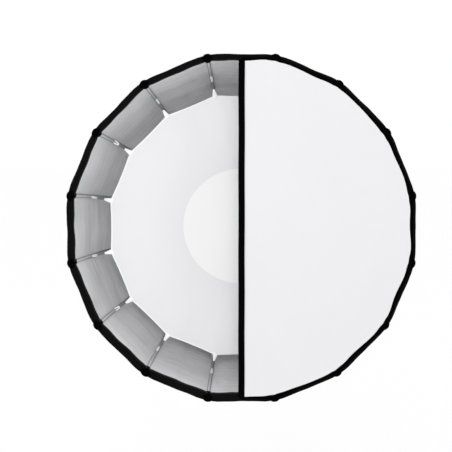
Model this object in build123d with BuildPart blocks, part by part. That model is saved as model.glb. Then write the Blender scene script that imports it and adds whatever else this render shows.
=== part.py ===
"""Sixteen-rib umbrella reflector with a speed ring, a lined shell, an inner baffle and a front diffuser.

The axis lies along Y. The light mounts on the +Y side and the open front faces -Y. The origin is the
centre of the light's mounting face. Sizes are millimetres. "Forward" distances are measured from the
origin along -Y.
"""

from build123d import *
import os
from math import cos, radians, sin, sqrt, tan

# Driving dimensions
RIB_COUNT = 16
RIM_RADIUS = 450.0  # corners of the front rim, from the axis
RIM_FORWARD = 420.0  # plane of the front rim
TIP_INSET = 7.5  # the ribs end inside the rim's corners
TIP_SETBACK = 4.5
HINGE_RADIUS = 78.0  # rib pivots, from the axis
HINGE_FORWARD = 20.0
RIB_START_ANGLE = 63.0  # between the rib's root and the axis
HOLDER_LENGTH = 30.0

PORT_RADIUS = 50.0  # light port through the mount insert
RUNNING_GAP = 0.3

ROD_RADIUS = 2.2
PIN_RADIUS = 1.5
PIN_CLEARANCE = 0.06
CLOTH = 1.2  # shell cloth and lining together
SHEET = 1.0  # diffuser and baffle cloth
LIP_WIDTH = 17.0
RIB_SLEEVE = 6.0  # half the width of the gap that the rib lies in, between two panels

SHELL_START = 20.0  # along the rib from its pivot
GAP_FROM_PANEL_EDGE = 0.2  # half the gap between a panel's two halves

BAFFLE_RADIUS = 345.0
BAFFLE_FORWARD = 315.0
PATCH_RADIUS = 150.0
STRAP_WIDTH = 12.0

# The front diffuser's right leaf lies on the lip. Its left leaf is folded over it, about a line
# between them.
DIFFUSER_RADIUS = RIM_RADIUS - 7.0
FOLD_GAP = 0.5
TAPE_WIDTH = 18.0
TAPE_PAST_FOLD = 8.0  # how far the tape reaches past the fold
TAPE_END_GAP = 1.0
TAPE_THICKNESS = 0.8
LEAF_FORWARD = {"diffuser_right_leaf": RIM_FORWARD + 2, "diffuser_left_leaf": RIM_FORWARD + 4}

# Worked out from them
STEP = 360.0 / RIB_COUNT
HALF_STEP = STEP / 2
RING_FRONT = HINGE_FORWARD + 12.0
RING_BACK = 5.0
RING_BORE = 60.0 + RUNNING_GAP
RING_RADIUS = 92.0
RIM_APOTHEM = RIM_RADIUS * cos(radians(HALF_STEP))


def meridian(azimuth):
    """The plane through the axis at an azimuth: local x is outward and local y is forward."""
    a = radians(azimuth)
    return Plane(origin=(0, 0, 0), x_dir=(cos(a), 0, sin(a)), z_dir=(sin(a), 0, -cos(a)))


def front(forward):
    """A plane facing forward: local x is to the right and local y is up."""
    return Plane(origin=(0, -forward, 0), x_dir=(1, 0, 0), z_dir=(0, -1, 0))


def outward(azimuth, radius, forward):
    """A plane whose normal points outward at an azimuth, for pieces that enter the ring radially."""
    a = radians(azimuth)
    u = Vector(cos(a), 0, sin(a))
    return Plane(origin=u * radius - Vector(0, forward, 0), x_dir=(0, -1, 0), z_dir=u)


def along_rib(distance):
    """A point on the rib's straight root, at a distance from its pivot."""
    a = radians(RIB_START_ANGLE)
    return (HINGE_RADIUS + distance * sin(a), HINGE_FORWARD + distance * cos(a))


def save(part, name):
    part.label = name
    export_step(part, f"parts/{name}.step")


RIB_DIRECTION = (sin(radians(RIB_START_ANGLE)), cos(radians(RIB_START_ANGLE)))
TIP = (RIM_RADIUS - TIP_INSET, RIM_FORWARD - TIP_SETBACK)
ROOT_END = along_rib(HOLDER_LENGTH)
# A panel's middle is nearer the axis than the ribs beside it.
SQUEEZE = cos(radians(HALF_STEP))
SQUEEZED_ROOT = (ROOT_END[0] * SQUEEZE, ROOT_END[1])
SQUEEZED_DIRECTION = (RIB_DIRECTION[0] * SQUEEZE, RIB_DIRECTION[1])


def rib_radius(forward):
    """Distance of the ribs' bow from the axis, at a forward distance."""
    with BuildLine():
        bow = TangentArc(ROOT_END, TIP, tangent=RIB_DIRECTION)
    centre = bow.arc_center
    return centre.X + sqrt(bow.radius**2 - (forward - centre.Y) ** 2)


# The mount
def mount_insert():
    """Bayonet insert that locks to the light. The speed ring turns on its sleeve."""
    with BuildPart() as insert:
        with BuildSketch(Plane.XY):
            # drawn with x outward and y along +Y, then turned about the Y axis
            with BuildLine():
                Polyline(
                    (PORT_RADIUS, 11),
                    (PORT_RADIUS + 3.5, 11),
                    (PORT_RADIUS + 3.5, 2),
                    (PORT_RADIUS + 9.5, 2),
                    (PORT_RADIUS + 9.5, 0),
                    (74, 0),
                    (74, -(RING_BACK - RUNNING_GAP)),
                    (60, -(RING_BACK - RUNNING_GAP)),
                    (60, -(RING_FRONT + RUNNING_GAP)),
                    (PORT_RADIUS, -(RING_FRONT + RUNNING_GAP)),
                    close=True,
                )
            make_face()
        revolve(axis=Axis.Y)
        with BuildSketch(front(-7)):
            for azimuth in (90, 210, 330):
                lug_inner = PORT_RADIUS + 3.0
                lug_outer = PORT_RADIUS + 8.5
                with BuildLine():
                    inner = CenterArc((0, 0), lug_inner, azimuth - 20, 40)
                    outer = CenterArc((0, 0), lug_outer, azimuth - 20, 40)
                    Line(inner @ 0, outer @ 0)
                    Line(inner @ 1, outer @ 1)
                make_face()
        extrude(amount=-4)
    save(insert.part, "mount_insert")


def insert_retainer():
    """Ring screwed to the sleeve's end, which keeps the speed ring on the insert."""
    back = RING_FRONT + RUNNING_GAP
    with BuildPart() as retainer:
        with BuildSketch(front(back)):
            Circle(68)
            Circle(PORT_RADIUS + 0.6, mode=Mode.SUBTRACT)
        extrude(amount=3)
        with BuildSketch(front(back + 3)):
            with PolarLocations(64, 4):
                Circle(2.2)
        extrude(amount=-1.5, mode=Mode.SUBTRACT)
        chamfer(retainer.faces().sort_by(Axis.Y)[0].outer_wire().edges(), 0.8)
    save(retainer.part, "insert_retainer")


# The speed ring
BUTTON_AZIMUTHS = {"release_button_right": 0.0, "release_button_left": 180.0}
BUTTON_RADIUS = 4.0
BUTTON_FORWARD = 11.5
KNOB_AZIMUTH = 270.0
KNOB_SHAFT = 2.5
SLOT_WIDTH = 7.0
SLOT_CLEARANCE = 6.5


def speed_ring():
    """Cast ring with a clevis slot and a cross-drilled pin hole for each rib."""
    with BuildPart() as ring:
        with BuildSketch(front(RING_BACK)):
            Circle(RING_RADIUS)
            Circle(RING_BORE, mode=Mode.SUBTRACT)
        extrude(amount=RING_FRONT - RING_BACK)
        back_edge = ring.faces().sort_by(Axis.Y)[-1].outer_wire().edges()
        front_edge = ring.faces().sort_by(Axis.Y)[0].outer_wire().edges()
        chamfer(back_edge, 2.5)
        chamfer(front_edge, 1.5)
        for i in range(RIB_COUNT):
            azimuth = HALF_STEP + STEP * i
            with BuildSketch(meridian(azimuth)):
                with Locations((HINGE_RADIUS - SLOT_CLEARANCE, HINGE_FORWARD - SLOT_CLEARANCE)):
                    Rectangle(30, 30, align=(Align.MIN, Align.MIN))
            extrude(amount=SLOT_WIDTH / 2, both=True, mode=Mode.SUBTRACT)
            with BuildSketch(meridian(azimuth)):
                with Locations((HINGE_RADIUS, HINGE_FORWARD)):
                    Circle(PIN_RADIUS)
            extrude(amount=8, both=True, mode=Mode.SUBTRACT)
        for azimuth in BUTTON_AZIMUTHS.values():
            with BuildSketch(outward(azimuth, RING_RADIUS - 12, BUTTON_FORWARD)):
                Circle(BUTTON_RADIUS + RUNNING_GAP)
            extrude(amount=20, mode=Mode.SUBTRACT)
        with BuildSketch(outward(KNOB_AZIMUTH, RING_BORE - 2, BUTTON_FORWARD)):
            Circle(KNOB_SHAFT + RUNNING_GAP)
        extrude(amount=40, mode=Mode.SUBTRACT)
    save(ring.part, "speed_ring")


def hinge_pins():
    """One press-fitted pin across each clevis."""
    with BuildPart() as pins:
        for i in range(RIB_COUNT):
            with BuildSketch(meridian(HALF_STEP + STEP * i)):
                with Locations((HINGE_RADIUS, HINGE_FORWARD)):
                    Circle(PIN_RADIUS)
            extrude(amount=8, both=True)
    save(pins.part, "hinge_pins")


def release_button(name, azimuth):
    """Push button that lets the ribs fold. It slides 5 mm into the ring."""
    with BuildPart() as button:
        with BuildSketch(outward(azimuth, RING_RADIUS - 6, BUTTON_FORWARD)):
            Circle(BUTTON_RADIUS)
        extrude(amount=14)
        far_face = button.faces().sort_by(Axis.X if azimuth == 0 else -Axis.X)[-1]
        fillet(far_face.edges(), 1.5)
    save(button.part, name)


def swivel_knob():
    """Thumbscrew that clamps the speed ring on the mount insert."""
    knob_start = RING_RADIUS + 3
    with BuildPart() as knob:
        with BuildSketch(outward(KNOB_AZIMUTH, RING_BORE + 0.2, BUTTON_FORWARD)):
            Circle(KNOB_SHAFT)
        extrude(amount=knob_start - RING_BORE)
        with BuildSketch(outward(KNOB_AZIMUTH, knob_start, BUTTON_FORWARD)):
            Circle(8)
        extrude(amount=12)
        chamfer(knob.faces().sort_by(Axis.Z)[0].edges(), 0.8)
        with BuildSketch(outward(KNOB_AZIMUTH, knob_start, BUTTON_FORWARD)):
            with PolarLocations(8.8, 10):
                Circle(1.6)
        extrude(amount=12, mode=Mode.SUBTRACT)
    save(knob.part, "swivel_knob")


# The ribs
ROD_IN_HOLDER = 20.0
HOLDER_HEIGHT = 9.0
CAP_RADIUS = 4.2
CAP_LENGTH = 3.5


def rib(name, azimuth):
    """Rib holder, sprung rod and tip cap, which turn together on the ring's pin."""
    plane = meridian(azimuth)
    with BuildLine(plane) as path:
        Line(along_rib(HOLDER_LENGTH - ROD_IN_HOLDER), ROOT_END)
        TangentArc(ROOT_END, TIP, tangent=RIB_DIRECTION)
    rod_start = Plane(origin=path.line @ 0, z_dir=path.line % 0)
    rod_end = Plane(origin=path.line @ 1, z_dir=path.line % 1)
    with BuildPart() as holder:
        with BuildSketch(plane):
            with Locations((HINGE_RADIUS, HINGE_FORWARD)):
                Circle(5.5)
            with Locations(Location(along_rib(HOLDER_LENGTH / 2), 90 - RIB_START_ANGLE)):
                Rectangle(HOLDER_LENGTH, HOLDER_HEIGHT)
            with Locations((HINGE_RADIUS, HINGE_FORWARD)):
                Circle(PIN_RADIUS + PIN_CLEARANCE, mode=Mode.SUBTRACT)
        extrude(amount=SLOT_WIDTH / 2 - RUNNING_GAP, both=True)
        with BuildSketch(rod_start):
            Circle(ROD_RADIUS)
        extrude(amount=ROD_IN_HOLDER + 1, mode=Mode.SUBTRACT)
    with BuildPart() as rod:
        with BuildSketch(rod_start):
            Circle(ROD_RADIUS)
        sweep(path=path.line)
    with BuildPart() as cap:
        with BuildSketch(rod_end):
            Circle(CAP_RADIUS)
        extrude(amount=CAP_LENGTH)
        chamfer(cap.faces().sort_by(SortBy.DISTANCE)[-1].edges(), 1.2)
    save(Compound(children=[holder.part, rod.part, cap.part]), name)


# The shell
def half_panel(name, rib_azimuth, side):
    """Half of the shell panel on one side of a rib, with its share of the front lip."""
    middle = meridian(rib_azimuth + side * HALF_STEP)
    start_x, start_y = along_rib(SHELL_START)
    rim = (RIM_APOTHEM, RIM_FORWARD)
    with BuildPart() as panel:
        with BuildSketch(middle):
            with BuildLine():
                Line((start_x * SQUEEZE, start_y), SQUEEZED_ROOT)
                TangentArc(SQUEEZED_ROOT, rim, tangent=SQUEEZED_DIRECTION)
                Line(rim, (RIM_APOTHEM - LIP_WIDTH, RIM_FORWARD))
            trace(line_width=CLOTH)
        extrude(amount=RIM_APOTHEM * tan(radians(HALF_STEP)) * side)
        keep = Keep.TOP if side > 0 else Keep.BOTTOM
        split(bisect_by=middle.offset(GAP_FROM_PANEL_EDGE * side), keep=keep)
        keep = Keep.BOTTOM if side > 0 else Keep.TOP
        split(bisect_by=meridian(rib_azimuth).offset(-RIB_SLEEVE * side), keep=keep)
    save(panel.part, name)


# The baffle and the front diffuser
def polygon(radius):
    """A flat sixteen-sided sheet with a corner at each rib."""
    RegularPolygon(radius, RIB_COUNT, rotation=HALF_STEP)


def inner_baffle():
    """Diffusion sheet inside the shell, with a second round layer sewn behind its middle."""
    with BuildPart() as sheet:
        with BuildSketch(front(BAFFLE_FORWARD)):
            polygon(BAFFLE_RADIUS)
        extrude(amount=SHEET)
    with BuildPart() as patch:
        with BuildSketch(front(BAFFLE_FORWARD)):
            Circle(PATCH_RADIUS)
        extrude(amount=-SHEET)
    save(Compound(children=[sheet.part, patch.part]), "inner_baffle")


def baffle_straps():
    """One strap at each corner of the baffle, reaching to the rib."""
    start = BAFFLE_RADIUS + 0.5
    length = rib_radius(BAFFLE_FORWARD) - 6 - start
    with BuildPart() as straps:
        with BuildSketch(front(BAFFLE_FORWARD)):
            with PolarLocations(start + length / 2, RIB_COUNT, start_angle=HALF_STEP):
                Rectangle(length, STRAP_WIDTH)
        extrude(amount=SHEET)
    save(straps.part, "baffle_straps")


def diffuser_leaf(name, forward):
    """Half of the front diffuser, on the right of its centre fold."""
    with BuildPart() as leaf:
        with BuildSketch(front(forward)):
            polygon(DIFFUSER_RADIUS)
            with Locations((-DIFFUSER_RADIUS + FOLD_GAP, 0)):
                Rectangle(2 * DIFFUSER_RADIUS, 2 * DIFFUSER_RADIUS, mode=Mode.SUBTRACT)
        extrude(amount=SHEET)
    save(leaf.part, name)


def diffuser_centre_tape():
    """Webbing along the folding leaf's straight edge, between the lip's inner edges."""
    length = 2 * (RIM_APOTHEM - LIP_WIDTH - TAPE_END_GAP)
    with BuildPart() as tape:
        with BuildSketch(front(LEAF_FORWARD["diffuser_left_leaf"] + SHEET)):
            with Locations((TAPE_WIDTH / 2 - TAPE_PAST_FOLD, 0)):
                Rectangle(TAPE_WIDTH, length)
        extrude(amount=TAPE_THICKNESS)
    save(tape.part, "diffuser_centre_tape")


os.makedirs("parts", exist_ok=True)
mount_insert()
insert_retainer()
speed_ring()
hinge_pins()
for button, azimuth in BUTTON_AZIMUTHS.items():
    release_button(button, azimuth)
swivel_knob()
for number in range(1, RIB_COUNT + 1):
    azimuth = HALF_STEP + STEP * (number - 1)
    rib(f"rib_{number:02d}", azimuth)
    half_panel(f"panel_{number:02d}_a", azimuth, 1)
    half_panel(f"panel_{number:02d}_b", azimuth, -1)
inner_baffle()
baffle_straps()
for leaf, forward in LEAF_FORWARD.items():
    diffuser_leaf(leaf, forward)
diffuser_centre_tape()
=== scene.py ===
import math

import bpy
import numpy as np
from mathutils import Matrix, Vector


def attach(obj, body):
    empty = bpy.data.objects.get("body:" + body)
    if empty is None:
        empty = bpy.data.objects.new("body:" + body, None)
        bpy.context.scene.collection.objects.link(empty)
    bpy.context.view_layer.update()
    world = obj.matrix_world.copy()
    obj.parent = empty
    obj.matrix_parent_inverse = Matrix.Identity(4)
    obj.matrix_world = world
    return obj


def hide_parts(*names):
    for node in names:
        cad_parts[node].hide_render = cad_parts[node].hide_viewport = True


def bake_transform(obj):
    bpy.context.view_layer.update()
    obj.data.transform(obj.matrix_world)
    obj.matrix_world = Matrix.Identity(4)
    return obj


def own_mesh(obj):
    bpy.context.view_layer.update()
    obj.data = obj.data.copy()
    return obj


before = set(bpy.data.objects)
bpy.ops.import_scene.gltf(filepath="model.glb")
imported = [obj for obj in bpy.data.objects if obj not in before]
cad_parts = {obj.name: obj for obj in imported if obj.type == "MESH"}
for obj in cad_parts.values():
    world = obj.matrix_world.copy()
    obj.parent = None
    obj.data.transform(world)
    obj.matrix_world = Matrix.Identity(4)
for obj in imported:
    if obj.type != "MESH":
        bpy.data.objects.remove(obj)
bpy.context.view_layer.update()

# The frame's sizes, in metres, as in the CAD model. The shell's axis is the Y axis, and forward is along -Y.
RIBS = 16
STEP = 2 * math.pi / RIBS
HALF = STEP / 2
RIM_RADIUS = 0.450  # over the corners of the mouth
RIM_FORWARD = 0.420
TIP_INSET = 0.0075
TIP_SETBACK = 0.0045
HINGE_RADIUS = 0.078
HINGE_FORWARD = 0.020
ROOT_ANGLE = math.radians(63)
ROOT_LENGTH = 0.030
SHELL_START = 0.020
BAFFLE_RADIUS = 0.345
BAFFLE_FORWARD = 0.3155
PATCH_RADIUS = 0.150
LEAF_RADIUS = 0.443
RIGHT_LEAF_FORWARD = 0.4225
LEFT_LEAF_FORWARD = 0.4245
PANEL_THICKNESS = 0.0009
SHEET_THICKNESS = 0.0006


def outward(azimuth):
    """Unit direction away from the axis."""
    return np.array([math.cos(azimuth), 0.0, math.sin(azimuth)])


def tangent(azimuth):
    """Unit direction round the axis."""
    return np.array([-math.sin(azimuth), 0.0, math.cos(azimuth)])


def at(azimuth, radius, across, forward):
    """A place beside the radial line at an azimuth. The others are numbers, or arrays for many places."""
    return (
        np.multiply.outer(radius, outward(azimuth))
        + np.multiply.outer(across, tangent(azimuth))
        - np.multiply.outer(forward, np.array([0.0, 1.0, 0.0]))
    )


def rib_azimuth(number):
    return HALF + STEP * (number - 1)


def smooth(x):
    """0 up to x = 0, 1 from x = 1, and a smooth step between them."""
    x = np.clip(x, 0, 1)
    return x * x * (3 - 2 * x)


# ---------------------------------------------------------------- material nodes
def grey(level):
    return (level, level, level)


def feed(tree, socket, value):
    """Link a socket to another one, or set it to a number or a colour."""
    if isinstance(value, bpy.types.NodeSocket):
        tree.links.new(value, socket)
    elif isinstance(value, tuple):
        socket.default_value = (*value, 1)
    else:
        socket.default_value = value


def material(name, colour, roughness, metallic=0.0):
    """A material, its node tree and its principled shader."""
    m = bpy.data.materials.new(name)
    m.use_nodes = True
    tree = m.node_tree
    shader = tree.nodes["Principled BSDF"]
    feed(tree, shader.inputs["Base Color"], colour)
    feed(tree, shader.inputs["Roughness"], roughness)
    feed(tree, shader.inputs["Metallic"], metallic)
    return m, tree, shader


def calculate(tree, operation, *values):
    """Result of a math node whose inputs are sockets or numbers."""
    node = tree.nodes.new("ShaderNodeMath")
    node.operation = operation
    for socket, value in zip(node.inputs, values):
        feed(tree, socket, value)
    return node.outputs[0]


def map_range(tree, value, source=(0, 1), target=(0, 1), interpolation="LINEAR"):
    """A value brought from one range to another, and held within it."""
    node = tree.nodes.new("ShaderNodeMapRange")
    node.interpolation_type = interpolation
    for name, number in zip(("From Min", "From Max", "To Min", "To Max"), (*source, *target)):
        node.inputs[name].default_value = number
    feed(tree, node.inputs["Value"], value)
    return node.outputs["Result"]


def mix(tree, share, low, high, blend_type="MIX"):
    """A colour between two, by a share from 0 to 1. Each colour is a fixed one or a socket."""
    node = tree.nodes.new("ShaderNodeMix")
    node.data_type = "RGBA"
    node.blend_type = blend_type
    feed(tree, node.inputs["Factor"], share)
    feed(tree, node.inputs["A"], low)
    feed(tree, node.inputs["B"], high)
    return node.outputs["Result"]


def object_coords(tree):
    return tree.nodes.new("ShaderNodeTexCoord").outputs["Object"]


def coordinates(tree, where):
    """The X, Y and Z of a vector."""
    node = tree.nodes.new("ShaderNodeSeparateXYZ")
    feed(tree, node.inputs[0], where)
    return node.outputs


def from_axis(tree, where):
    """Distance from the Y axis."""
    parts = coordinates(tree, where)
    x2 = calculate(tree, "MULTIPLY", parts["X"], parts["X"])
    z2 = calculate(tree, "MULTIPLY", parts["Z"], parts["Z"])
    return calculate(tree, "SQRT", calculate(tree, "ADD", x2, z2))


def depth_share(tree, where, near, far):
    """From 0 at one forward distance to 1 at another that is further from the rim."""
    return map_range(tree, coordinates(tree, where)["Y"], (-near, -far))


def noise(tree, where, scale, detail=3.0, roughness=0.5):
    node = tree.nodes.new("ShaderNodeTexNoise")
    node.inputs["Scale"].default_value = scale
    node.inputs["Detail"].default_value = detail
    node.inputs["Roughness"].default_value = roughness
    feed(tree, node.inputs["Vector"], where)
    return node.outputs["Fac"]


def streaks(tree, where):
    """Fine streaks that run round the axis."""
    stretch = tree.nodes.new("ShaderNodeMapping")
    stretch.inputs["Scale"].default_value = (9, 260, 9)
    feed(tree, stretch.inputs["Vector"], where)
    return noise(tree, stretch.outputs["Vector"], 1.0, 4.0, 0.6)


WEAVE_UNIT = 6.2832  # fineness of a weave whose wave texture has a scale of 1


def weave(tree, where, fineness):
    """Height of a plain weave, the product of two crossed thread waves about 2 m / fineness apart."""
    waves = []
    for direction in ("X", "Z"):
        node = tree.nodes.new("ShaderNodeTexWave")
        node.bands_direction = direction
        node.inputs["Scale"].default_value = fineness / WEAVE_UNIT
        node.inputs["Distortion"].default_value = 0.4
        feed(tree, node.inputs["Vector"], where)
        waves.append(node.outputs["Fac"])
    return calculate(tree, "MULTIPLY", *waves)


def crinkles(tree, where, fine, coarse):
    """(height, distance) pairs of creased cloth, for add_bump."""
    return [(noise(tree, where, 42, 4.0, 0.55), fine), (noise(tree, where, 15, 2.0), coarse)]


def add_bump(tree, shader, heights):
    """Bump from (height socket, distance in metres) pairs, one on another."""
    previous = None
    for height, distance in heights:
        node = tree.nodes.new("ShaderNodeBump")
        node.inputs["Strength"].default_value = 1.0
        node.inputs["Distance"].default_value = distance
        feed(tree, node.inputs["Height"], height)
        if previous:
            feed(tree, node.inputs["Normal"], previous)
        previous = node.outputs["Normal"]
    feed(tree, shader.inputs["Normal"], previous)


# ---------------------------------------------------------------- cloths
def cloth(name, low, high, roughness, fineness=1400, sheen=0.0, crinkle=0.0, specular=0.5):
    """Woven cloth with a little variation of colour and gloss, a weave and perhaps a crinkle."""
    m, tree, shader = material(name, high, roughness)
    where = object_coords(tree)
    cloud = noise(tree, where, 7.0)
    feed(tree, shader.inputs["Base Color"], mix(tree, cloud, low, high))
    gloss = map_range(tree, cloud, target=(roughness - 0.07, roughness + 0.07))
    feed(tree, shader.inputs["Roughness"], gloss)
    heights = [(weave(tree, where, fineness), 0.00012)]
    if crinkle:
        heights += crinkles(tree, where, crinkle, crinkle * 2.2)
    add_bump(tree, shader, heights)
    shader.inputs["Sheen Weight"].default_value = sheen
    shader.inputs["Specular IOR Level"].default_value = specular
    return m


LINING_END = 0.24  # forward distance
LINING_PAINTED_SHADING = (  # painted light and shade down the lining: share of the way from the rim to LINING_END, and brightness
    (0.0, 0.82),
    (0.30, 0.65),
    (0.55, 0.565),
    (0.78, 0.66),
    (0.95, 1.0),
)
BLUER = 1.02  # the lining's blue over its red


def silver_lining():
    """Silver coated cloth, crinkled, with fine streaks round the axis, and painted light and shade along its
    depth: brightest at the rim and deep inside, darkest 0.1 m in from the rim.
    """
    m, tree, shader = material("silver_lining", (0.7, 0.7, 0.71), 0.42, 0.12)
    where = object_coords(tree)
    # painted light and shade: a brightness ramp from the rim inwards
    painted_shading = tree.nodes.new("ShaderNodeValToRGB")
    feed(tree, painted_shading.inputs["Fac"], depth_share(tree, where, RIM_FORWARD, LINING_END))
    stops = painted_shading.color_ramp.elements
    for k, (place, tone) in enumerate(LINING_PAINTED_SHADING):
        stop = stops[k] if k < 2 else stops.new(place)
        stop.position = place
        stop.color = (tone, tone, tone * BLUER, 1)
    fine = streaks(tree, where)
    cloud_part = calculate(tree, "MULTIPLY", noise(tree, where, 9.0), 0.4)
    streak_part = calculate(tree, "MULTIPLY", fine, 0.6)
    mottle = map_range(tree, calculate(tree, "ADD", cloud_part, streak_part), (0.36, 0.64))
    shade = mix(tree, mottle, (0.86, 0.86, 0.865), grey(1.08))
    feed(tree, shader.inputs["Base Color"], mix(tree, 1.0, painted_shading.outputs["Color"], shade, "MULTIPLY"))
    feed(tree, shader.inputs["Roughness"], map_range(tree, fine, target=(0.34, 0.50)))
    add_bump(tree, shader, [(fine, 0.0006), *crinkles(tree, where, 0.0010, 0.0022)])
    return m


SLEEVE_PAINTED_SHADE_END = 0.30  # forward distance where the sleeve's painted shade is darkest


def sleeve_lining_painted_shade():
    """The lining over a rib, which is duller, with painted shade that darkens it away from the rim."""
    m, tree, shader = material("sleeve_lining_painted_shade", grey(0.5), 0.5, 0.2)
    where = object_coords(tree)
    depth = depth_share(tree, where, RIM_FORWARD, SLEEVE_PAINTED_SHADE_END)
    # painted shade: darker deeper in the shell, where the rib's tunnel lies in shade
    feed(tree, shader.inputs["Base Color"], mix(tree, depth, (0.72, 0.72, 0.73), (0.30, 0.30, 0.31)))
    add_bump(tree, shader, [(noise(tree, where, 60, 3.0), 0.0005)])
    return m


PATCH_EDGE = 0.002  # width over which the second layer's edge fades
BAFFLE_TONES = ((0.69, 0.69, 0.70), (0.76, 0.76, 0.77))  # beside the second layer and at the outer edge
PATCH_TONE = grey(0.785)
FOLD_PAINTED_LIGHT_REACH = (0.15, -0.03)  # distances from the fold's plane where the cloth has no painted light, and where the painted light would be strongest
FOLD_PAINTED_LIGHT = (1.0, 1.18)
BRIGHTEST = grey(0.94)


def baffle_cloth():
    """White cloth that looks brighter over the second layer behind its middle, with painted light near the
    fold's plane that offsets the shade of the front diffuser.
    """
    m, tree, shader = material("white_baffle", (0.85, 0.85, 0.86), 0.85)
    where = object_coords(tree)
    cloud = noise(tree, where, 5.0)
    radius = from_axis(tree, where)
    outer = map_range(tree, radius, (PATCH_RADIUS, BAFFLE_RADIUS))
    outer_share = calculate(tree, "ADD", calculate(tree, "MULTIPLY", cloud, 0.25), outer)
    on_patch = map_range(tree, radius, (PATCH_RADIUS, PATCH_RADIUS - PATCH_EDGE))
    tone = mix(tree, on_patch, mix(tree, outer_share, *BAFFLE_TONES), PATCH_TONE)
    # painted light near the fold's plane, to offset the shade the front diffuser casts on the baffle there
    from_fold = calculate(tree, "ABSOLUTE", coordinates(tree, where)["X"])
    brighter = tree.nodes.new("ShaderNodeVectorMath")
    brighter.operation = "SCALE"
    feed(tree, brighter.inputs["Vector"], tone)
    feed(tree, brighter.inputs["Scale"], map_range(tree, from_fold, FOLD_PAINTED_LIGHT_REACH, FOLD_PAINTED_LIGHT, "SMOOTHSTEP"))
    ceiling = tree.nodes.new("ShaderNodeVectorMath")
    ceiling.operation = "MINIMUM"
    ceiling.inputs[1].default_value = BRIGHTEST
    feed(tree, ceiling.inputs[0], brighter.outputs["Vector"])
    feed(tree, shader.inputs["Base Color"], ceiling.outputs["Vector"])
    feed(tree, shader.inputs["Roughness"], map_range(tree, cloud, target=(0.78, 0.92)))
    add_bump(tree, shader, [(weave(tree, where, 1400), 0.0001)])
    shader.inputs["Sheen Weight"].default_value = 0.05
    return m


black_cloth = cloth(
    "black_nylon", (0.006, 0.006, 0.007), (0.011, 0.011, 0.012), 0.72, crinkle=0.0004, specular=0.2
)
black_tape = cloth("black_webbing", grey(0.0006), grey(0.0012), 0.85, fineness=700, specular=0.015)
loop_tape = cloth("black_loop_tape", grey(0.002), grey(0.005), 0.95, fineness=900, specular=0.04)
white_cloth = cloth(
    "white_diffuser", (0.665, 0.66, 0.68), (0.69, 0.685, 0.705), 0.85, sheen=0.05, crinkle=0.0005
)
white_hem = cloth("white_hem", grey(0.84), grey(0.88), 0.8, fineness=700)
elastic = cloth("white_elastic", grey(0.86), grey(0.92), 0.8, fineness=500)
# painted shade for the stitched valleys along a sleeve's seams
seam_painted_shade = cloth("seam_painted_shade", (0.16, 0.16, 0.165), (0.24, 0.24, 0.245), 0.7, fineness=500, specular=0.3)
silver = silver_lining()
painted_shade_silver = sleeve_lining_painted_shade()
white_baffle = baffle_cloth()


# ---------------------------------------------------------------- metals and plastics
def hardware(name, low, high, roughness, metallic=0.0, grain=900.0, depth=0.00004, coat=0.0):
    """Moulded or cast surface with a fine grain and uneven gloss."""
    m, tree, shader = material(name, high, roughness, metallic)
    where = object_coords(tree)
    cloud = noise(tree, where, 60.0, 5.0)
    feed(tree, shader.inputs["Base Color"], mix(tree, cloud, low, high))
    feed(tree, shader.inputs["Roughness"], map_range(tree, cloud, target=(roughness - 0.08, roughness + 0.1)))
    add_bump(tree, shader, [(noise(tree, where, grain, 2.0), depth)])
    shader.inputs["Coat Weight"].default_value = coat
    return m


HOLDER_END_RADIUS = 0.1052
CAP_LENGTH = 0.0045


def rib_metal():
    """Bright drawn rod, with a dark moulded holder near the axis and a dark cap at the tip."""
    m, tree, shader = material("rib_rod_and_holder", (0.55, 0.55, 0.57), 0.3, 1.0)
    where = object_coords(tree)
    radius = from_axis(tree, where)
    on_holder = calculate(tree, "LESS_THAN", radius, HOLDER_END_RADIUS)
    on_cap = calculate(tree, "GREATER_THAN", radius, RIM_RADIUS - TIP_INSET - CAP_LENGTH)
    dark = calculate(tree, "MAXIMUM", on_holder, on_cap)
    grain = noise(tree, where, 260.0, 4.0)
    bright = mix(tree, grain, (0.46, 0.46, 0.48), (0.62, 0.62, 0.64))
    feed(tree, shader.inputs["Base Color"], mix(tree, dark, bright, (0.018, 0.018, 0.02)))
    feed(tree, shader.inputs["Metallic"], calculate(tree, "SUBTRACT", 1.0, dark))
    feed(tree, shader.inputs["Roughness"], map_range(tree, dark, target=(0.3, 0.5)))
    add_bump(tree, shader, [(grain, 0.00003)])
    return m


hook_grey = hardware("hook_grey", (0.16, 0.16, 0.165), (0.23, 0.23, 0.235), 0.45)
cast_black = hardware(
    "cast_black", (0.014, 0.014, 0.015), (0.024, 0.024, 0.026), 0.48, grain=420, depth=0.00012
)
satin_aluminium = hardware("satin_aluminium", (0.55, 0.55, 0.56), (0.66, 0.66, 0.67), 0.34, 1.0)
pin_steel = hardware("pin_steel", (0.5, 0.5, 0.52), (0.62, 0.62, 0.64), 0.25, 1.0)
button_red = hardware("button_red", (0.42, 0.02, 0.015), (0.55, 0.03, 0.02), 0.38, coat=0.2)
knob_black = hardware("knob_black", (0.015, 0.015, 0.016), (0.028, 0.028, 0.03), 0.42)
rod_finish = rib_metal()


# ---------------------------------------------------------------- meshes
def new_object(name, vertices, faces, face_materials, materials, normals=None):
    """A smooth mesh object. normals are one per vertex."""
    mesh = bpy.data.meshes.new(name)
    mesh.from_pydata([tuple(v) for v in vertices], [], faces)
    for m in materials:
        mesh.materials.append(m)
    mesh.polygons.foreach_set("material_index", face_materials)
    mesh.polygons.foreach_set("use_smooth", [True] * len(faces))
    mesh.update()
    if normals is not None:
        mesh.normals_split_custom_set_from_vertices([tuple(n) for n in normals])
    obj = bpy.data.objects.new(name, mesh)
    bpy.context.scene.collection.objects.link(obj)
    return obj


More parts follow.
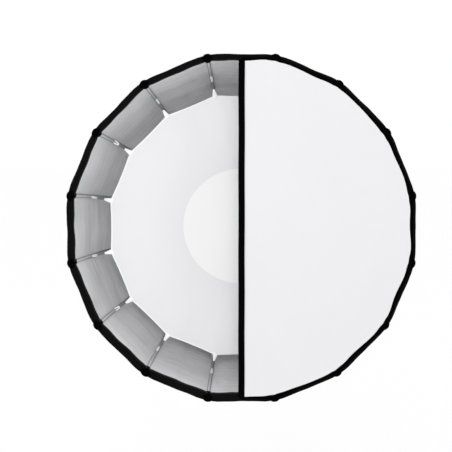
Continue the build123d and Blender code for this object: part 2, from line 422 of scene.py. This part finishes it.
def tube_faces(first, rings, sides):
    """Faces of a closed tube of rings, with both ends filled. first is the index of its first vertex."""
    faces = []
    for j in range(rings - 1):
        for k in range(sides):
            b, c = first + j * sides + k, first + j * sides + (k + 1) % sides
            faces.append((b, c, c + sides, b + sides))
    last = first + (rings - 1) * sides
    faces.append(tuple(range(first, first + sides))[::-1])
    faces.append(tuple(range(last, last + sides)))
    return faces


def grid_faces(rows, columns, flip, offset=0):
    faces = []
    for j in range(rows - 1):
        for i in range(columns - 1):
            a = offset + j * columns + i
            quad = (a, a + 1, a + columns + 1, a + columns)
            faces.append(quad[::-1] if flip else quad)
    return faces


def grid_normals(points, towards):
    """Unit normals of a grid of points, by central differences, the first of them facing a direction."""
    n = np.cross(np.gradient(points, axis=1), np.gradient(points, axis=0))
    n /= np.maximum(np.linalg.norm(n, axis=2, keepdims=True), 1e-12)
    return n if n[0, n.shape[1] // 2] @ np.array(towards) > 0 else -n


def sheet_object(name, points, normals, thickness, materials, row_materials, back):
    """A two-sided sheet. points are its front face, and its back face lies thickness behind it.

    row_materials gives the material index of each row of the front's faces, and back that of the back's, or
    None where the back repeats the front's rows. The narrow faces round its border have index 0."""
    rows, columns = points.shape[:2]
    across, along = points[1, 1] - points[1, 0], points[2, 0] - points[1, 0]
    flip = np.cross(across, along) @ normals[1, 0] < 0
    front_vertices = points.reshape(-1, 3)
    n = normals.reshape(-1, 3)
    back_vertices = front_vertices - n * thickness
    count = rows * columns
    front_faces = grid_faces(rows, columns, flip)
    back_faces = grid_faces(rows, columns, not flip, count)
    border = [(0, i) for i in range(columns)]
    border += [(j, columns - 1) for j in range(1, rows)]
    border += [(rows - 1, i) for i in range(columns - 2, -1, -1)]
    border += [(j, 0) for j in range(rows - 2, 0, -1)]
    ids = [j * columns + i for j, i in border]
    border_faces = []
    for a, b in zip(ids, ids[1:] + ids[:1]):
        quad = (b, a, a + count, b + count)
        border_faces.append(quad[::-1] if flip else quad)
    index = [row_materials[f // (columns - 1)] for f in range(len(front_faces))]
    index += index[:] if back is None else [back] * len(back_faces)
    index += [0] * len(border_faces)
    return new_object(
        name,
        np.concatenate([front_vertices, back_vertices]),
        front_faces + back_faces + border_faces,
        index,
        materials,
        np.concatenate([n, -n]),
    )


# ---------------------------------------------------------------- the shell's panels
RIM = np.array([RIM_RADIUS, RIM_FORWARD])
RIB_TIP = RIM - (TIP_INSET, TIP_SETBACK)
ROOT_DIRECTION = np.array([math.sin(ROOT_ANGLE), math.cos(ROOT_ANGLE)])
ROOT = np.array([HINGE_RADIUS, HINGE_FORWARD]) + ROOT_LENGTH * ROOT_DIRECTION


def bow_points(end, count, start=SHELL_START, stop_short=0.0):
    """(radius, forward) points, evenly spaced, from start past the pivot along the rib's straight root, then
    along the arc from the root to an end point."""
    across = np.array([-ROOT_DIRECTION[1], ROOT_DIRECTION[0]])
    chord = end - ROOT
    radius = chord @ chord / (2 * chord @ across)
    centre = ROOT + radius * across
    a0 = math.atan2(*(ROOT - centre)[::-1])
    a1 = math.atan2(*(end - centre)[::-1])
    straight = ROOT_LENGTH - start
    total = straight + radius * abs(a1 - a0) - stop_short
    points = []
    for s in np.linspace(0, total, count):
        if s < straight:
            points.append(ROOT - ROOT_DIRECTION * (straight - s))
        else:
            a = a0 + (a1 - a0) * (s - straight) / (radius * abs(a1 - a0))
            points.append(centre + radius * np.array([math.cos(a), math.sin(a)]))
    return np.array(points)


WALL_ROWS = 46
EDGE_ROUND = 0.0030
EDGE_STEPS = (0.25, 0.5, 0.75, 1.0)
LIP_ROWS = 6
LIP_START = 0.0055
LIP_WIDTH = 0.0188
LIP_NARROWING = 0.08  # share of its width that the lip loses at the middle of a gore
LIP_WIDENING = 0.0070  # how much wider the lip is at the bottom of the mouth than at its top
LIP_RIPPLE = 0.0009
LIP_WAVE = 0.0006
SLEEVE_HALF = 0.0034
HALF_COLUMNS = 10
PANEL_SAG = 0.0035
RIM_NOTCH = 0.0014
RIM_WAVE = 0.0006
CORNER_DIP = 0.0030
CORNER_SHARE = 0.15  # how far a corner's dip reaches, as a share of half a gore
CREASE_DEPTHS = (-0.0004, 0.0011)  # a gore whose depth is drawn below 0 has no crease
CREASE_PLACES = (-0.12, 0.12)
CREASE_WIDTH = 0.05
FOLDS = (  # depth, and the radians of its wave over half the gore's width and up the wall
    (0.0010, 6, 2.5),
    (0.0006, 13, -5),
    (0.0008, 4, 17),
    (0.0006, -5, 31),
)


def shell_rows():
    """(radius, forward) rows from the shell's root, over the rounded rim, to the lip's inner edge."""
    wall = bow_points(RIM, WALL_ROWS, stop_short=EDGE_ROUND)
    lip_start = np.array([RIM_RADIUS - EDGE_ROUND, RIM_FORWARD])
    rounded = [(1 - t) ** 2 * wall[-1] + 2 * t * (1 - t) * RIM + t * t * lip_start for t in EDGE_STEPS]
    widths = np.linspace(LIP_START, LIP_WIDTH, LIP_ROWS)
    lip = [(RIM_RADIUS - width / math.cos(HALF), RIM_FORWARD) for width in widths]
    return np.array([*wall, *rounded, *lip])


SHELL_ROWS = shell_rows()
LIP_FIRST_ROW = WALL_ROWS + 2
EVEN = np.linspace(-1, 1, 2 * HALF_COLUMNS + 1)
COLUMN_PLACES = np.sign(EVEN) * np.abs(EVEN) ** 1.4  # across a gore, closer together at its middle


def gore_points(gore, random):
    """Front-face points of a whole gore, whose middle is at azimuth gore * STEP.

    The rim is drawn in at its middle, and the lip is narrower there, so that its inner edge is straight. The
    lip widens towards the bottom of the mouth."""
    middle = gore * STEP
    phases = random.uniform(0, 2 * math.pi, 6)
    sizes = random.uniform(0.6, 1.0, 6)
    crease_depth = max(random.uniform(*CREASE_DEPTHS), 0)
    crease_place = random.uniform(*CREASE_PLACES)
    notch = random.uniform(0, RIM_NOTCH)
    rim_wave = random.uniform(-RIM_WAVE, RIM_WAVE)
    from_rib = 1 - np.abs(COLUMN_PLACES)
    pinch = from_rib**1.5
    corner = CORNER_DIP * np.exp(-((from_rib / CORNER_SHARE) ** 2))
    lowness = (1 - np.sin(middle + COLUMN_PLACES * HALF)) / 2
    points = np.zeros((len(SHELL_ROWS), len(COLUMN_PLACES), 3))
    for j, (radius, forward) in enumerate(SHELL_ROWS):
        half_width = radius * math.sin(HALF)
        place = COLUMN_PLACES * (1 - SLEEVE_HALF / half_width)
        window = 1 - place * place
        up = min(j / (WALL_ROWS - 1), 1.0)
        on_lip = max(0.0, (j - LIP_FIRST_ROW) / (len(SHELL_ROWS) - 1 - LIP_FIRST_ROW))

        sag = PANEL_SAG * math.sin(math.pi * up) * window
        sag += up**5 * (notch * pinch + rim_wave * np.sin(math.pi * place))
        sag += up**8 * (1 - on_lip) * corner
        crease = np.exp(-(((place - crease_place) / CREASE_WIDTH) ** 2))
        sag += crease_depth * crease * smooth(2.2 * (1 - up))

        folds = np.zeros_like(place)
        for (depth, across, along), size, phase in zip(FOLDS, sizes, phases):
            folds += depth * size * np.sin(across * place + along * up + phase)
        folds *= window * smooth((up - 0.04) / 0.2) * (1 - 0.6 * up**4)

        distance = radius * math.cos(HALF) - sag + folds * (1 - 0.5 * on_lip)
        distance += LIP_RIPPLE * on_lip * np.sin(7 * place + phases[4]) * window
        if on_lip > 0:
            distance += (RIM_RADIUS - radius) * math.cos(HALF) * LIP_NARROWING * pinch
        distance -= on_lip * LIP_WIDENING * lowness**1.3
        wave = LIP_WAVE * on_lip * np.sin(9 * place + phases[5]) * window
        points[j] = at(middle, distance, place * half_width, forward + wave)
    return points


def half_panel(number, letter, points, normals):
    """One half panel, in place of the CAD model's panel, which is hidden."""
    row_materials = [0] * LIP_FIRST_ROW + [2] * (len(SHELL_ROWS) - 2 - LIP_FIRST_ROW) + [0]
    obj = sheet_object(
        f"shell_{number:02d}_{letter}",
        points,
        normals,
        PANEL_THICKNESS,
        [black_cloth, silver, loop_tape],
        row_materials,
        back=1,
    )
    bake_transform(obj)
    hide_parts(f"panel_{number:02d}_{letter}")


# ---------------------------------------------------------------- the shell's sleeves and pockets
SLEEVE_RINGS = 48
SLEEVE_SIDES = 16
SLEEVE_HEIGHT = 0.0036
SLEEVE_START = 0.026
SLEEVE_STOP_SHORT = 0.002
SEAM_OVERLAP = 0.0009
# sides of a sleeve that carry painted shade along its seams
SEAM_SHADE_SIDES = (8, 9, 14, 15)


def sleeve(number):
    """The sewn sleeve that a rib lies in: black outside, and silver inside between its two seams, with narrow
    strips of painted shade along the seams.
    """
    rows = bow_points(RIB_TIP, SLEEVE_RINGS, start=SLEEVE_START, stop_short=SLEEVE_STOP_SHORT)
    d = np.gradient(rows, axis=0)
    d /= np.linalg.norm(d, axis=1, keepdims=True)
    out = np.stack([d[:, 1], -d[:, 0]], axis=1)
    order = np.arange(SLEEVE_RINGS)
    ends = np.minimum(1, np.minimum(order, order[::-1]) / 1.5 + 0.55)
    vertices = []
    for place, o, end in zip(rows, out, ends):
        for k in range(SLEEVE_SIDES):
            angle = 2 * math.pi * k / SLEEVE_SIDES
            radius, forward = place + o * SLEEVE_HEIGHT * math.sin(angle) * end
            across = (SLEEVE_HALF + SEAM_OVERLAP) * math.cos(angle) * end
            vertices.append(at(rib_azimuth(number), radius, across, forward))
    # the silver inside, with painted shade on the seam sides
    around = [0 if k < SLEEVE_SIDES // 2 else 2 if k in SEAM_SHADE_SIDES else 1 for k in range(SLEEVE_SIDES)]
    index = around * (SLEEVE_RINGS - 1) + [0, 0]
    faces = tube_faces(0, SLEEVE_RINGS, SLEEVE_SIDES)
    obj = new_object(f"sleeve_{number:02d}", vertices, faces, index, [black_cloth, painted_shade_silver, seam_painted_shade])
    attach(obj, f"rib_{number:02d}")
    return obj


POCKET_SIDES = 24
POCKET_SQUARENESS = 0.85
TIP_STEPS = 400  # along the rib, for its direction at the tip
POCKET_SECTIONS = (  # distance past the tip, half width and half thickness
    (-0.0330, 0.0050, 0.0044),
    (-0.0315, 0.0076, 0.0052),
    (-0.0280, 0.0094, 0.0055),
    (-0.0200, 0.0108, 0.0058),
    (-0.0120, 0.0116, 0.0062),
    (-0.0040, 0.0116, 0.0064),
    (0.0010, 0.0106, 0.0064),
    (0.0040, 0.0086, 0.0058),
    (0.0056, 0.0054, 0.0040),
    (0.0061, 0.0020, 0.0016),
)
LAP_CENTRE = RIM_RADIUS - 0.0108
LAP_HALF_WIDTH = 0.0130
LAP_HALF_LENGTH = 0.0098
LAP_RINGS = ((0.94, 0.0014), (0.99, 0.0010), (1.0, -0.0006))  # share of its size, and height over the rim


def pocket(number):
    """Reinforced black pocket over a rib's tip, with an oval lap over the corner of the lip."""
    azimuth = rib_azimuth(number)
    last = bow_points(RIB_TIP, TIP_STEPS)[-2:]
    d = (last[1] - last[0]) / np.linalg.norm(last[1] - last[0])
    out = np.array([d[1], -d[0]])
    angles = [2 * math.pi * k / POCKET_SIDES for k in range(POCKET_SIDES)]
    vertices = []
    for distance, width, thick in POCKET_SECTIONS:
        for angle in angles:
            c = math.cos(angle)
            across = width * math.copysign(abs(c) ** POCKET_SQUARENESS, c)
            radius, forward = RIB_TIP + d * distance + out * thick * math.sin(angle)
            vertices.append(at(azimuth, radius, across, forward))
    faces = tube_faces(0, len(POCKET_SECTIONS), POCKET_SIDES)
    faces += tube_faces(len(vertices), len(LAP_RINGS), POCKET_SIDES)
    for scale, lift in LAP_RINGS:
        for angle in angles:
            radius = LAP_CENTRE - LAP_HALF_LENGTH * scale * math.sin(angle)
            across = LAP_HALF_WIDTH * scale * math.cos(angle)
            vertices.append(at(azimuth, radius, across, RIM_FORWARD + lift))
    obj = new_object(f"pocket_{number:02d}", vertices, faces, [0] * len(faces), [black_tape])
    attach(obj, f"rib_{number:02d}")
    return obj


FIRST_HALF = slice(0, HALF_COLUMNS + 1)
SECOND_HALF = slice(HALF_COLUMNS, None)


def make_shell():
    random = np.random.default_rng(7)
    gores = []
    for gore in range(RIBS):
        points = gore_points(gore, random)
        gores.append((points, grid_normals(points, outward(gore * STEP))))
    for number in range(1, RIBS + 1):
        trim = [sleeve(number), pocket(number)]
        gore_after, gore_before = gores[number % RIBS], gores[number - 1]
        for letter, (points, normals), columns, with_pieces in (
            ("a", gore_after, FIRST_HALF, trim),
            ("b", gore_before, SECOND_HALF, []),
        ):
            half_panel(number, letter, points[:, columns], normals[:, columns])


# ---------------------------------------------------------------- sectors of the baffle and the diffuser
SECTOR_ANGLES = np.linspace(-HALF, HALF, 15)


def polygon_edge(corner_radius, concave):
    """Distances from the axis, at a sector's angles, to a sixteen-sided edge pulled in between corners."""
    from_middle = HALF - np.abs(SECTOR_ANGLES)
    straight = corner_radius * math.cos(HALF) / np.cos(from_middle)
    return straight - concave * (1 - (from_middle / HALF) ** 2)


def disc_sector(azimuth, radii, height, forward, x_least=-math.inf):
    """Grid of points of a sector centred on an azimuth. radii has one row for each ring."""
    points = np.zeros((*radii.shape, 3))
    points[..., 0] = np.maximum(radii * np.cos(azimuth + SECTOR_ANGLES), x_least)
    points[..., 2] = radii * np.sin(azimuth + SECTOR_ANGLES)
    points[..., 1] = -forward - height(points[..., 0], points[..., 2])
    return points


def sector_normals(points, height):
    """Normals from the height function, so that neighbouring sectors meet without a seam."""
    x, z, e = points[..., 0], points[..., 2], 0.0005
    dx = (height(x + e, z) - height(x - e, z)) / (2 * e)
    dz = (height(x, z + e) - height(x, z - e)) / (2 * e)
    n = np.stack([-dx, -np.ones_like(dx), -dz], axis=-1)
    return n / np.linalg.norm(n, axis=-1, keepdims=True)


def make_sector(
    name, points, height, materials, row_materials, back, node, body
):
    """A sector of a cloth disc, put on a body in place of the CAD model's node, which is hidden."""
    normals = sector_normals(points, height)
    obj = sheet_object(name, points, normals, SHEET_THICKNESS, materials, row_materials, back)
    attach(obj, body)
    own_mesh(obj)
    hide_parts(node)


# ---------------------------------------------------------------- front diffuser
LEAF_CONCAVE = 0.0025
LEAF_GAP = 0.0005  # from the fold's plane to the cloth
LEAF_SECTORS = RIBS // 2
WHITE_RINGS = (  # shares of the leaf's reach
    *(0.0015, 0.03, 0.07, 0.12, 0.18, 0.25, 0.33, 0.41),
    *(0.49, 0.57, 0.65, 0.72, 0.78, 0.84, 0.89, 0.93),
)
BLACK_RINGS = (0.0, 0.04, 0.5, 1.0)  # shares of the black edge's width
BLACK_WIDTH = 0.0070
BLACK_CORNER = 0.0062  # how much wider the black edge is at a corner


def leaf_height(x, z):
    """Gentle pucker near the rim and a very slight billow, forward."""
    r = np.sqrt(x * x + z * z)
    a = np.arctan2(z, x)
    near_rim = smooth((r - 0.25) / 0.17)
    pucker = 0.00022 * np.sin(37 * a + 1.3) + 0.00018 * np.sin(61 * a + 0.4) + 0.00016 * np.sin(23 * a)
    billow = 0.00025 * np.sin(17 * x + 1) * np.sin(13 * z)
    return near_rim * pucker + billow


def white_reach(edge, azimuth):
    """Distances to the line where the white cloth meets its black edge, uneven as sewn cloth is."""
    around = SECTOR_ANGLES + azimuth
    wave = 0.0013 * np.sin(13 * around) + 0.0007 * np.sin(29 * around + 1)
    corner = BLACK_CORNER * np.exp(-((SECTOR_ANGLES / 0.05) ** 2))
    return edge - BLACK_WIDTH - wave - corner


def make_leaf(label, body, forward, trim=()):
    """Half of the front diffuser, in eight sectors. trim is not used."""
    edge = polygon_edge(LEAF_RADIUS, LEAF_CONCAVE)
    for k in range(LEAF_SECTORS):
        azimuth = -math.pi / 2 + HALF + STEP * k
        white = white_reach(edge, azimuth)
        radii = [share * edge for share in WHITE_RINGS]
        radii += [white * (1 - share) + edge * share for share in BLACK_RINGS]
        points = disc_sector(azimuth, np.array(radii), leaf_height, forward, x_least=LEAF_GAP)
        make_sector(
            f"{label}_{k + 1}",
            points,
            leaf_height,
            [white_cloth, black_tape],
            [0] * len(WHITE_RINGS) + [1] * (len(BLACK_RINGS) - 1),
            back=None,
            node=f"diffuser_{label}",
            body=body,
        )


TAPE_ROWS = 90
TAPE_COLUMNS = 9
TAPE_HALF_LENGTH = 0.4268
TAPE_MIDDLE = 0.0002
TAPE_HALF_WIDTH = 0.0080
TAPE_FORWARD = 0.4262
TAPE_CROWN = 0.00035
TAPE_WAVER = 0.00025
TAPE_END = 0.406  # beyond this the tape is flat, and set back by TAPE_END_SETBACK
TAPE_END_RUN = 0.006
TAPE_END_SETBACK = 0.0003


def centre_tape():
    """Webbing along the fold, a little uneven at its edges."""
    z = np.linspace(-TAPE_HALF_LENGTH, TAPE_HALF_LENGTH, TAPE_ROWS)[:, None]
    share = np.linspace(-1, 1, TAPE_COLUMNS)[None, :]
    end = smooth((np.abs(z) - TAPE_END + TAPE_END_RUN) / TAPE_END_RUN)
    points = np.zeros((TAPE_ROWS, TAPE_COLUMNS, 3))
    points[..., 0] = TAPE_MIDDLE + TAPE_HALF_WIDTH * share + TAPE_WAVER * np.sin(31 * z + 0.5)
    points[..., 1] = -TAPE_FORWARD + TAPE_END_SETBACK * end - TAPE_CROWN * (1 - share**2) * (1 - end)
    points[..., 2] = z
    normals = grid_normals(points, (0, -1, 0))
    row_materials = [0] * (TAPE_ROWS - 1)
    obj = sheet_object("centre_tape", points, normals, SHEET_THICKNESS, [black_tape], row_materials, back=0)
    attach(obj, "diffuser_flap")
    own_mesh(obj)
    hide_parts("diffuser_centre_tape")
    return obj


# ---------------------------------------------------------------- inner baffle and its straps
BAFFLE_CONCAVE = 0.0018
BAFFLE_RINGS = (  # shares of the baffle's reach
    *(0.0015, 0.05, 0.12, 0.2, 0.28, 0.36, 0.4345, 0.5),
    *(0.58, 0.66, 0.74, 0.82, 0.9, 0.96, 0.989, 1.0),
)
CORNER_TAB = (  # (radius, across) of the tab sewn on a corner of the baffle
    (0.3380, -0.0070),
    (0.3380, 0.0070),
    (0.3450, 0.0062),
    (0.3540, 0.0040),
    (0.3615, 0.0025),
    (0.3615, -0.0025),
    (0.3540, -0.0040),
    (0.3450, -0.0062),
)
WIRE_START = 0.3600
WIRE_WIDTH = 0.0011
WIRE_OFFSET = 0.0014
EYE_RADIUS = 0.3780  # distance from the axis to the eye's centre
EYE_SIDES = 12
EYE_HALF_LENGTH = 0.0016
EYE_HALF_WIDTH = 0.0032
ELASTIC_WIDTH = 0.0034
ELASTIC_RADII = (0.3770, 0.3850, 0.3940)
NARROW_LOOP = 0.0010
WIDE_LOOP = 0.0024
TOP_SHARE = 0.88  # size of a strap piece's upper face, as a share of its outline's


def baffle_height(x, z):
    """Slight scallops at the edge and a very slight billow, forward."""
    r = np.sqrt(x * x + z * z)
    a = np.arctan2(z, x)
    near_rim = smooth((r - 0.15) / 0.2)
    scallops = 0.0007 * np.cos(RIBS * (a - HALF)) + 0.0003 * np.sin(41 * a)
    billow = 0.0003 * np.sin(15 * x)
    return near_rim * scallops + billow


def eye_outline(lean):
    """Outline of the hook's eye, which the elastic passes through."""
    points = []
    for k in range(EYE_SIDES):
        angle = 2 * math.pi * k / EYE_SIDES
        radius = EYE_RADIUS + EYE_HALF_LENGTH * math.cos(angle)
        points.append((radius, lean + EYE_HALF_WIDTH * math.sin(angle)))
    return points


def band_outline(path, width):
    """Outline of a narrow strip along a path of (radius, across) points."""
    path = np.array(path, float)
    d = np.gradient(path, axis=0)
    d /= np.linalg.norm(d, axis=1, keepdims=True)
    side = np.stack([-d[:, 1], d[:, 0]], axis=1) * width / 2
    return [*(path + side), *(path - side)[::-1]]


def strap_blocks(number):
    """(outline, lower height, upper height, material index) of each flat piece of a strap."""
    lean = 0.0010 * math.sin(5.0 * number)
    spread = WIDE_LOOP if number % 3 == 1 else NARROW_LOOP
    blocks = [(CORNER_TAB, 0.0002, 0.0014, 0)]
    for x in (-WIRE_OFFSET, WIRE_OFFSET):
        wire = band_outline([(WIRE_START, x), (EYE_RADIUS, x + lean)], WIRE_WIDTH)
        blocks.append((wire, 0.0004, 0.0016, 1))
    blocks.append((eye_outline(lean), 0.0002, 0.0022, 1))
    for side in (-spread, spread):
        places = (lean, 1.3 * lean + side, 1.2 * lean + 1.3 * side)
        blocks.append((band_outline(list(zip(ELASTIC_RADII, places)), ELASTIC_WIDTH), 0.0004, 0.0018, 0))
    return blocks


def strap(number):
    """White tab, grey hook and white elastic between a corner of the baffle and its rib."""
    azimuth = rib_azimuth(number)
    vertices, faces, index = [], [], []
    for outline, low, high, material_index in strap_blocks(number):
        outline = np.array(outline)
        centre = outline.mean(axis=0)
        top = centre + (outline - centre) * TOP_SHARE
        block_faces = tube_faces(len(vertices), 3, len(outline))
        for ring, lift in ((outline, low), (outline, (low + high) / 2), (top, high)):
            for radius, across in ring:
                vertices.append(at(azimuth, radius, across, BAFFLE_FORWARD + lift))
        faces += block_faces
        index += [material_index] * len(block_faces)
    obj = new_object(f"strap_{number:02d}", vertices, faces, index, [elastic, hook_grey])
    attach(obj, "speed_ring")
    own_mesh(obj)
    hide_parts("baffle_straps")
    return obj


def make_baffle():
    radii = np.outer(BAFFLE_RINGS, polygon_edge(BAFFLE_RADIUS, BAFFLE_CONCAVE))
    for number in range(1, RIBS + 1):
        azimuth = rib_azimuth(number)
        strap_piece = strap(number)
        make_sector(
            f"baffle_{number:02d}",
            disc_sector(azimuth, radii, baffle_height, BAFFLE_FORWARD),
            baffle_height,
            [white_baffle, white_hem],
            [0] * (len(BAFFLE_RINGS) - 2) + [1],
            back=0,
            node="inner_baffle",
            body="speed_ring",
        )


# ---------------------------------------------------------------- ring, ribs and other hardware
FINISHES = {
    "speed_ring": cast_black,
    "mount_insert": satin_aluminium,
    "insert_retainer": satin_aluminium,
    "hinge_pins": pin_steel,
    "release_button_left": button_red,
    "release_button_right": button_red,
    "swivel_knob": knob_black,
}
for number in range(1, RIBS + 1):
    FINISHES[f"rib_{number:02d}"] = rod_finish


def finish_hardware():
    for node, finish in FINISHES.items():
        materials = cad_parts[node].data.materials
        materials.clear()
        materials.append(finish)


# ---------------------------------------------------------------- stage, light and camera
FLOOR_HEIGHT = -1.1
FLOOR_REACH = 30
SKY_STRENGTH = 1.01
KEY_SIZE = (1.4, 1.0)
KEY_POWER = 17
KEY_PLACE = Vector((-0.25, -2.6, 0.9))
KEY_TARGET = Vector((0, -0.3, 0))
CAMERA_DISTANCE = 3.5
FIELD_WIDTH = 1.136
SENSOR = 36.0
CAMERA_PLACE = Vector((-0.05, -(RIM_FORWARD + CAMERA_DISTANCE), 0.30))
AIM = Vector((-0.0389, -RIM_FORWARD, 0.0092))


def place_facing(name, data, place, target):
    """An object for a lamp's or a camera's data, turned to look at a target."""
    obj = bpy.data.objects.new(name, data)
    obj.location = place
    obj.rotation_mode = "QUATERNION"
    obj.rotation_quaternion = (target - place).to_track_quat("-Z", "Y")
    bpy.context.scene.collection.objects.link(obj)
    return obj


def make_stage():
    floor_white = material("floor_white", grey(0.985), 0.9)[0]
    signs = ((-1, -1), (1, -1), (1, 1), (-1, 1))
    corners = [(FLOOR_REACH * x, FLOOR_REACH * y, FLOOR_HEIGHT) for x, y in signs]
    floor = new_object("floor", corners, [(0, 1, 2, 3)], [0], [floor_white])


def make_light():
    world = bpy.data.worlds.new("studio")
    bpy.context.scene.world = world
    world.use_nodes = True
    background = world.node_tree.nodes["Background"]
    background.inputs["Color"].default_value = (1, 1, 1, 1)
    background.inputs["Strength"].default_value = SKY_STRENGTH
    lamp = bpy.data.lights.new("key", "AREA")
    lamp.shape = "RECTANGLE"
    lamp.size, lamp.size_y = KEY_SIZE
    lamp.energy = KEY_POWER
    place_facing("key", lamp, KEY_PLACE, KEY_TARGET)


def make_camera():
    data = bpy.data.cameras.new("camera")
    data.sensor_width = SENSOR
    data.lens = SENSOR * CAMERA_DISTANCE / FIELD_WIDTH
    bpy.context.scene.camera = place_facing("camera", data, CAMERA_PLACE, AIM)
    bpy.context.scene.view_settings.view_transform = "Standard"


make_shell()
make_baffle()
make_leaf("right_leaf", "diffuser", RIGHT_LEAF_FORWARD)
make_leaf("left_leaf", "diffuser_flap", LEFT_LEAF_FORWARD, trim=[centre_tape()])
finish_hardware()
make_stage()
make_light()
make_camera()
